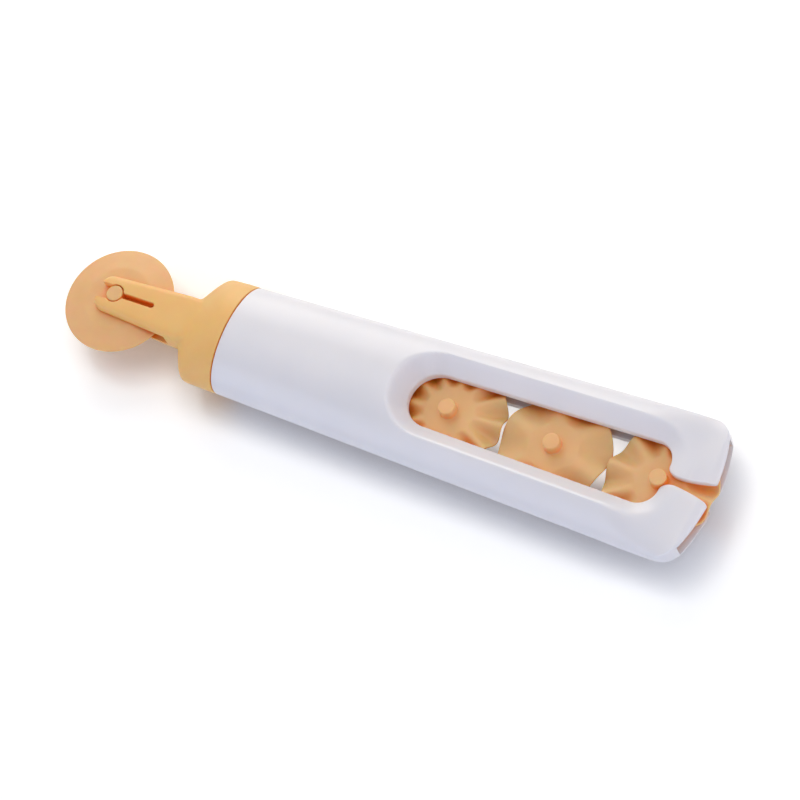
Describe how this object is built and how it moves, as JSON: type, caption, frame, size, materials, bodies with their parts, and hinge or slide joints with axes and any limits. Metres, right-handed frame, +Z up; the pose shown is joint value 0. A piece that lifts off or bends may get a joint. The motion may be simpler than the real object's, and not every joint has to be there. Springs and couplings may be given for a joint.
{
  "type": "multi-wheel pastry cutter",
  "caption": "Pastry cutter with a plain rolling wheel in a snap fork and fluted spare wheels stored in a windowed track inside the oval handle",
  "frame": {"origin": "under the middle of the cutter, on the surface that it lies on", "axes": "+X runs along the cutter from the plain wheel to the tail, +Y across the width, +Z up through the window in the handle"},
  "size_m": [0.2092, 0.0442, 0.0232],
  "materials": {
    "white_plastic": "smooth satin gloss moulding, faintly cool white",
    "honey_plastic": "satin moulding, honey orange",
    "sand_plastic": "satin moulding, paler sand orange"
  },
  "bodies": {
    "handle_with_fork": {"handle": "white_plastic", "fork_collar": "honey_plastic"},
    "plain_wheel": {"plain_wheel": "sand_plastic"},
    "fine_wave_wheel": {"fine_wave_wheel": "sand_plastic"},
    "coarse_wave_wheel": {"coarse_wave_wheel": "sand_plastic"},
    "medium_wave_wheel": {"medium_wave_wheel": "sand_plastic"}
  },
  "joints": [
    {"name": "plain_wheel_turn", "type": "hinge", "parent": "handle_with_fork", "child": "plain_wheel", "pos_m": [-0.08818, 0, 0.0116], "axis": [0, 0, 1], "continuous": true},
    {"name": "coarse_wheel_slide", "type": "slide", "parent": "handle_with_fork", "child": "coarse_wave_wheel", "axis": [-1, 0, 0], "range_m": [0, 0.0093]},
    {"name": "fine_wheel_slide", "type": "slide", "parent": "handle_with_fork", "child": "fine_wave_wheel", "axis": [-1, 0, 0], "range_m": [0, 0.0093]},
    {"name": "medium_wheel_slide", "type": "slide", "parent": "handle_with_fork", "child": "medium_wave_wheel", "axis": [-1, 0, 0], "range_m": [0, 0.0093]}
  ],
  "couplings": [
    {"joint": "fine_wheel_slide", "follows": "coarse_wheel_slide", "ratio": 1},
    {"joint": "medium_wheel_slide", "follows": "coarse_wheel_slide", "ratio": 1}
  ]
}
